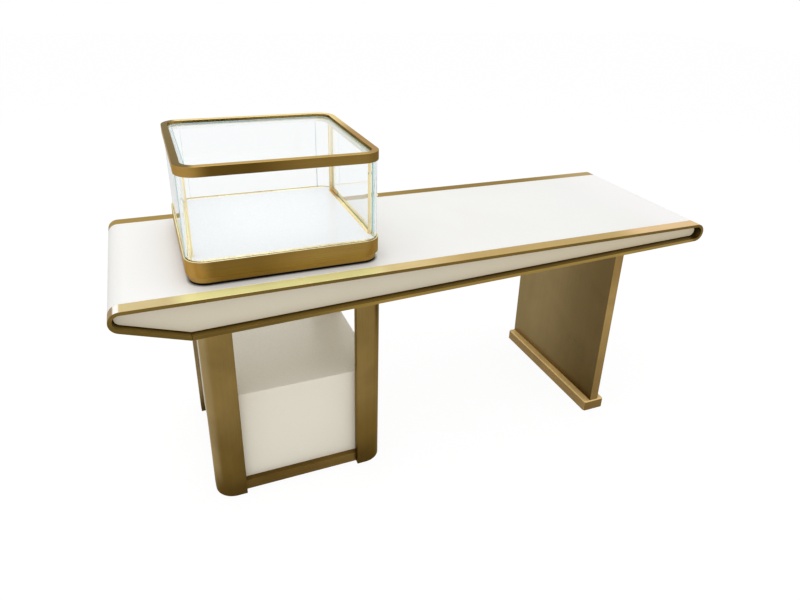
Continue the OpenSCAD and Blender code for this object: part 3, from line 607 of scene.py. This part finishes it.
def touching(start, centre, r, side):
    """Unit direction from start along the tangent to a circle."""
    to = centre - start
    angle = math.atan2(to.y, to.x) + side * math.asin(r / to.length)
    return Vector((math.cos(angle), math.sin(angle)))


DIR_L = touching(KINK, NOSE_L, NOSE_L_R, 1)
DIR_R = touching(KINK, NOSE_R, NOSE_R_R, -1)
IN_L = Vector((DIR_L.y, -DIR_L.x))
IN_R = Vector((-DIR_R.y, DIR_R.x))
SLOPE = math.atan2(DIR_R.y, DIR_R.x)
LEFT_END = 3 * math.pi / 2 - math.atan2(IN_L.x, IN_L.y)


def under_z(x):
    """Height of the beam's underside to the right of the kink."""
    return KINK.y + (x - KINK.x) * math.tan(SLOPE)


def kink_at(t):
    """The kink of an outline set in by t."""
    return KINK + t * (IN_L + IN_R) / (1 + IN_L.dot(IN_R))


def arc(centre, r, start, end):
    return [centre + r * Vector((math.cos(a), math.sin(a))) for a in sweep(start, end, 28)]


def arc_l(t):
    """The left nose set in by t, from its top to the underside."""
    return arc(NOSE_L, NOSE_L_R - t, QUARTER, LEFT_END)


def arc_r(t):
    """The right nose set in by t, from the underside to its top."""
    return arc(NOSE_R, NOSE_R_R - t, SLOPE - QUARTER, QUARTER)


def make_band(node, side, materials):
    """A band as one bent loop whose two ends meet at the kink with a small chamfer."""
    slit, bevel = 0.2, 0.8
    outer, inner = side * Y_BAND, side * Y_CREAM
    section = fillet(
        [(0, outer), (0, inner), (BAND_T, inner), (BAND_T, outer)], [0.6, 0.5, 0.5, 0.6]
    )
    middle = (BAND_T / 2, (outer + inner) / 2)
    wide = (BAND_T - 2 * bevel) / BAND_T, (BAND_W - 2 * bevel) / BAND_W
    drawn = [tuple(m + w * (c - m) for c, m, w in zip(p, middle, wide)) for p in section]

    def bent(points, end_gap, arcs):
        paths = [
            [kink_at(t) + end_gap * DIR_R] + (arc_r(t) + arc_l(t) if arcs else [])
            + [kink_at(t) + end_gap * DIR_L] for t, _ in points
        ]
        return [
            [(path[i].x, y, path[i].y) for path, (_, y) in zip(paths, points)]
            for i in range(len(paths[0]))
        ]

    first, last = bent(drawn, slit, False)
    loops = [first] + bent(section, slit + bevel, True) + [last]
    n = len(section)
    ends = (len(loops) - 1) * n

    def slot(i, _):
        """Round the section, 0 to 4 face outward with their edges and 7 to 13 inward. Outward
        faces, the sides, and inward faces with the ends get their own tones of brass: painted
        light and shade.
        """
        if i >= ends or 6 < i % n < 14:
            return 2
        return 0 if i % n < 5 else 1

    paint(finish_piece(skin(node + "_loop", loops), node, materials), slot)


def make_worktop():
    """The top board, bent round both noses."""
    gap, ease = 0.3, 0.6
    half = Y_CREAM - gap
    inner = arc_r(WORKTOP_T) + arc_l(WORKTOP_T)
    flat = arc_l(0)[::-1] + arc_r(0)[::-1] + inner
    drawn = arc_l(ease)[::-1] + arc_r(ease)[::-1] + inner
    loops = [
        [(p.x, y, p.y) for p in points]
        for y, points in ((-half, drawn), (-half + ease, flat), (half - ease, flat), (half, drawn))
    ]
    finish_piece(skin("worktop_skin", loops), "worktop", "worktop")


make_band("front_band", -1, ["band", "band_face_painted_light", "band_in_painted_shade"])
make_band("rear_band", 1, ["rear_band", "rear_face_painted_shade", "band_in_painted_shade"])
make_worktop()
for beam_board in ("front_fascia", "rear_fascia"):
    dress(beam_board, "fascia", shortest=0.5, crease=60)
for beam_board in ("underside_left", "underside_right"):
    dress(beam_board, "cream")


# ---- Pedestal

def post_plan(sx, sy, t, steps=18):
    """A post's outline: one big round corner outside, two end faces and a slanted inner face."""
    far, end, r = POST_W - t, POST_END - t * (math.sqrt(2) - 1), POST_R
    corners = [(far, t), (far, end), (end, far), (t, far), (t, r), (r, t)]
    own = fillet(corners, [1.2 - min(t, 1) * 0.9] * 4 + [0, 0], 2)[:-2]
    own += [
        (r - (r - t) * math.cos(a), r - (r - t) * math.sin(a)) for a in sweep(0, QUARTER, steps)
    ]
    x, y = (PED_X0 if sx < 0 else PED_X1), (PED_Y0 if sy < 0 else PED_Y1)
    return [(x - sx * u, y - sy * v) for u, v in own]


def make_post(node, sx, sy):
    """A post folded from sheet, its foot's outer edge eased."""
    section = [
        (SHEET_T, GLIDE_H), (0.8, GLIDE_H), (0.25, GLIDE_H + 0.25), (0, GLIDE_H + 0.8),
        (0, None), (SHEET_T, None),
    ]
    loops = beam_high_loops(lambda t: post_plan(sx, sy, t), section)
    finish_piece(skin(node + "_fold", loops, ring=True), node, "post")


make_post("post_front_left", -1, -1)
make_post("post_front_right", 1, -1)
make_post("post_rear_left", -1, 1)
make_post("post_rear_right", 1, 1)

# The cabinet's top gets the lighter cream: painted light
dress("cabinet_top", "shelf", 0.4)
# The front panel's top edge gets the same lighter cream as the shelf that it carries: painted
# light
paint(dress("cabinet_front", ["cabinet", "shelf"], 0.4), lambda _, face: face.normal.z > 0.5)
for board in (
    "cabinet_bottom", "cabinet_side_left", "cabinet_side_right",
    "cabinet_door_left", "cabinet_door_right", "inner_shelf",
):
    dress(board, "cabinet", 1.0, 3)
for rail in ("plinth_long_rails", "plinth_side_rails"):
    dress(rail, "plinth")

KNOB_PROFILE = [
    (0, 0.5), (0, 5.6), (0.8, 5.2), (2.5, 4.6), (6, 4.4), (9, 5.2), (11, 7.6), (12.6, 10.0),
    (14.4, 10.9), (18.5, 11), (20.4, 10.6), (21.4, 9.7), (21.9, 8.2), (22, 5.5), (22, 0.5),
]
for knob in ("cabinet_knob_left", "cabinet_knob_right"):
    make_turned(knob, "Y", KNOB_PROFILE)


# ---- Leg

def make_leg():
    """The slab's cladding, folded from sheet, with another tone of its brass on the narrow edges:
    painted light.
    """
    section = [
        (SHEET_T, FOOT_TOP), (0.5, FOOT_TOP), (0, FOOT_TOP + 0.5), (0, None), (SHEET_T, None)
    ]
    loops = beam_high_loops(
        lambda t: rounded_plan(LEG_PLAN, t, max(LEG_R - t, 0.2), 4), section
    )
    slab = skin("leg_cladding_fold", loops, ring=True)
    finish_piece(slab, "leg_cladding", ["slab", "slab_edge_painted_light"])
    paint(slab, lambda _, face: abs(face.normal.y) > 0.7)


def make_foot_bar():
    """The milled bar under the leg: eased below, with a round edge above."""
    r, middle = FOOT_EDGE_R, 30
    section = [
        (middle, GLIDE_H), (0.8, GLIDE_H), (0.25, GLIDE_H + 0.2), (0, GLIDE_H + 0.8)
    ] + [(r - r * math.cos(a), FOOT_TOP - r + r * math.sin(a)) for a in sweep(0, QUARTER, 6)]
    loops = plan_loops(lambda t: rounded_plan(FOOT_PLAN, t, max(FOOT_R - t, 0.5), 8), section)
    bar = skin("foot_bar_milled", loops)
    finish_piece(bar, "foot_bar", ["foot", "foot_top", "foot_end_painted_shade"], smooth=40)
    # Top faces lighter, ends darker: painted light and shade
    paint(bar, lambda _, face: 1 if face.normal.z > 0.6 else 2 if abs(face.normal.y) > 0.7 else 0)


make_leg()
make_foot_bar()


# ---- Showcase

def case_plan(t):
    return rounded_plan(CASE, t, CASE_R - t, 24)


def make_ring(name, node, materials, corners, radii):
    """A ring round the showcase's plan: corners and radii are its section's."""
    ring = skin(name, plan_loops(case_plan, fillet(corners, radii)), ring=True)
    return finish_piece(ring, node, materials)


def make_rings():
    # The gasket ring is near black so that it reads as the dark contact shadow under the step:
    # painted shade
    gasket = rectangle(GASKET_IN, WORKTOP_H, GASKET_END, STEP_Z)
    make_ring("case_gasket_ring", "case_gasket", "rubber", gasket, [0.6] * 4)

    step = rectangle(STEP_IN, STEP_Z, STEP_END, BASE_Z)
    make_ring("case_step_ring", "case_step", "step", step, [0.8, 0.4, 0.4, 0.4])

    flange = BASE_Z + 3
    base = [
        (0, BASE_Z), (STEP_END, BASE_Z), (STEP_END, flange), (BASE_SHEET, flange),
        (BASE_SHEET, BASE_TOP), (0, BASE_TOP),
    ]
    base_ring = make_ring(
        "case_base_ring", "case_base_band", ["base", "trim"], base, [1.2, 0, 0, 0, 0.5, 0.9]
    )
    # Upward faces get the near-white copy of the brass: painted light
    paint(base_ring, lambda _, face: face.normal.z > 0.7)

    top = rectangle(0, RING_Z, RING_IN, RING_TOP)
    top_ring = make_ring(
        "top_ring_milled", "top_ring", ["ring", "ring_top"], top, [1.4, 0.6, 1.0, 1.4]
    )
    # Upward faces get the ring's top tone: painted light
    paint(top_ring, lambda _, face: face.normal.z > 0.5)

    inner, green = LEDGE_IN + 12, LEDGE_IN + 9.5
    ledge = [
        (LEDGE_IN, RING_Z), (inner, RING_Z), (inner, LEDGE_TOP), (green, LEDGE_TOP),
        (LEDGE_IN, LEDGE_TOP),
    ]
    ring_ledge = make_ring(
        "ring_ledge_strip", "ring_ledge", ["ledge", "edge"], ledge, [0.4, 0.8, 0.8, 0, 0.4]
    )
    # The section's faces 8 to 11 are the top inner edge, green from the lid's edge above it
    around = len(case_plan(0))
    paint(ring_ledge, lambda i, _: 7 < i // around < 12)


def make_pane(node, ease=0.5):
    """A flat pane with eased, green edges."""
    low, high = [[c / MM for c in corner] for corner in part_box(node)]
    thin = min(range(3), key=lambda i: high[i] - low[i])
    u, v = [i for i in range(3) if i != thin]
    loops = []
    for inset, depth in (
        (ease, low[thin]), (0, low[thin] + ease), (0, high[thin] - ease), (ease, high[thin])
    ):
        loop = []
        for a, b in (
            (low[u] + inset, low[v] + inset), (high[u] - inset, low[v] + inset),
            (high[u] - inset, high[v] - inset), (low[u] + inset, high[v] - inset),
        ):
            point = [0, 0, 0]
            point[u], point[v], point[thin] = a, b, depth
            loop.append(tuple(point))
        loops.append(loop)
    pane = skin(node + "_pane", loops)
    finish_piece(pane, node, ["glass", "edge"], smooth=20, sharp_only=True)
    paint(pane, lambda _, face: abs(face.normal[thin]) < 0.9)


def glass_arc(sx, sy, r, start, end):
    """Points of one of the showcase's corners, from the angle start to end off the X side."""
    x0, y0, x1, y1 = CASE
    cx = x0 + CASE_R if sx < 0 else x1 - CASE_R
    cy = y0 + CASE_R if sy < 0 else y1 - CASE_R
    return [
        (cx + sx * r * math.cos(a), cy + sy * r * math.sin(a)) for a in sweep(start, end, 20)
    ]


def front_line(r, start):
    """A face of the front pane, bent round both of its corners."""
    return glass_arc(-1, -1, r, start, QUARTER) + glass_arc(1, -1, r, QUARTER, start)


def corner_line(sx):
    """A face of a rear corner, with a joint at both ends."""
    return lambda r, start: glass_arc(sx, 1, r, start, QUARTER - start)


def make_bent(node, line, ease=0.4):
    """A bent pane with eased edges. line(r, start) is a face's points from its first joint."""
    def outline(t):
        """The outer face's points, then the inner one's backwards."""
        made = []
        for r, order in ((CASE_R - GLASS_IN - t, 1), (CASE_R - WALL_IN + t, -1)):
            made += line(r, math.asin((GLASS_GAP + t) / r))[::order]
        return made

    loops = plan_loops(outline, [
        (ease, DECK_TOP), (0, DECK_TOP + ease), (0, GLASS_TOP - ease), (ease, GLASS_TOP)
    ])
    bent = finish_piece(skin(node + "_bent", loops), node, ["bent", "edge"], smooth=30)
    n = len(loops[0])
    ends = (len(loops) - 1) * n
    paint(bent, lambda i, _: i >= ends or i % n in (n // 2 - 1, n - 1))


def make_lid(ease=0.5):
    """The glass top, which lies on the ledge."""
    loops = plan_loops(case_plan, [
        (LEDGE_IN + ease, LEDGE_TOP), (LEDGE_IN, LEDGE_TOP + ease),
        (LEDGE_IN, LID_TOP - ease), (LEDGE_IN + ease, LID_TOP),
    ])
    lid = skin("glass_top_pane", loops)
    finish_piece(lid, "glass_top", ["glass", "edge"], smooth=20, sharp_only=True)
    paint(lid, lambda _, face: abs(face.normal.z) < 0.9)


make_rings()
dress("floor_border", "trim", 0.5, shortest=0.3, crease=60)
dress("joint_strips", "case_trim", 0.4)
dress("door_surround", "case_trim", 0.4, shortest=3.0)
dress("case_door_stile", "case_trim", 0.4, shortest=1.5)
for flat_pane in ("glass_left", "glass_rear", "case_door_glass"):
    make_pane(flat_pane)
make_bent("glass_front", front_line)
make_bent("glass_corner_rear_left", corner_line(-1))
make_bent("glass_corner_rear_right", corner_line(1))
make_lid()
make_turned("case_door_pull", "X", [
    (0, 0.4), (0, 3.3), (0.6, 2.9), (3, 2.6), (5.5, 2.7), (7, 3.5), (8, 4.2), (9.4, 4.5),
    (12.2, 4.5), (13.3, 4.1), (13.9, 3.3), (14, 2.0), (14, 0.4),
])


# ---- Nodes that stay as they are get their finish

SLOT_MAT = {
    "plywood": "plywood", "steel": "steel", "glide_plastic": "nylon", "white_floor": "floor",
}
for node_name, node_obj in nodes.items():
    if node_obj.hide_render:
        continue
    finish = MATS[SLOT_MAT[node_slot[node_name]]]
    for index in range(len(node_obj.data.materials)):
        node_obj.data.materials[index] = finish


# ---- Stage and light

def stage_floor(span=14.0):
    """A pale floor that fades to white for the camera and less so in reflections."""
    corners = [(-span, -span, 0), (span, -span, 0), (span, span, 0), (-span, span, 0)]
    mesh = bpy.data.meshes.new("stage_floor")
    mesh.from_pydata(corners, [], [(0, 1, 2, 3)])
    floor = add_object("stage_floor", mesh)
    s = Shader("stage_white")
    s.use(Base_Color=(0.80, 0.80, 0.80, 1), Roughness=0.9, Specular_IOR_Level=0.0)
    ray = s.add("ShaderNodeLightPath").outputs
    through = ray["Is Transmission Ray"]
    seen = s.maths("MULTIPLY", s.maths("MAXIMUM", ray["Is Camera Ray"], through), 0.86)
    share = s.maths("ADD", seen, s.maths("MULTIPLY", ray["Is Glossy Ray"], 0.45))
    strength = s.maths("MULTIPLY_ADD", through, -0.10, 1.07)
    glow = s.add("ShaderNodeEmission", Color=WHITE, Strength=strength)
    s.mix_out(share, glow.outputs[0])
    mesh.materials.append(s.mat)


def stage_world(level):
    """White for the camera, in reflections and through glass. It lights the rest by level."""
    world = bpy.data.worlds.new("studio")
    bpy.context.scene.world = world
    world.use_nodes = True
    tree = world.node_tree
    back = tree.nodes["Background"]
    back.inputs["Color"].default_value = WHITE
    ray = tree.nodes.new("ShaderNodeLightPath").outputs
    most = ray["Is Camera Ray"]
    for name in ("Is Glossy Ray", "Is Transmission Ray"):
        node = tree.nodes.new("ShaderNodeMath")
        node.operation = "MAXIMUM"
        tree.links.new(most, node.inputs[0])
        tree.links.new(ray[name], node.inputs[1])
        most = node.outputs[0]
    strength = tree.nodes.new("ShaderNodeMapRange")
    tree.links.new(most, strength.inputs["Value"])
    strength.inputs["To Min"].default_value = level
    strength.inputs["To Max"].default_value = 1.0
    tree.links.new(strength.outputs[0], back.inputs["Strength"])


def lamp(name, place, target, size, power, shows=False):
    """A soft box at place that points at target. shows puts it in reflections."""
    data = bpy.data.lights.new(name, "AREA")
    data.shape = "RECTANGLE"
    data.size, data.size_y = size
    data.energy = power
    obj = add_object(name, data)
    obj.location = place
    obj.rotation_euler = (Vector(target) - Vector(place)).to_track_quat("-Z", "Y").to_euler()
    obj.visible_glossy = shows


stage_floor()
stage_world(0.66)
lamp("lamp_back", (0.6, 3.6, 3.4), (-0.3, 0, 0.8), (4.0, 2.0), 22)
lamp("lamp_top", (-0.9, -0.6, 4.2), (-0.4, 0, 0.8), (3.5, 3.0), 42, shows=True)
lamp("lamp_front", (-1.0, -5.0, 1.6), (-0.2, 0, 0.6), (5.0, 2.5), 65)

scene = bpy.context.scene
scene.view_settings.view_transform = "Standard"
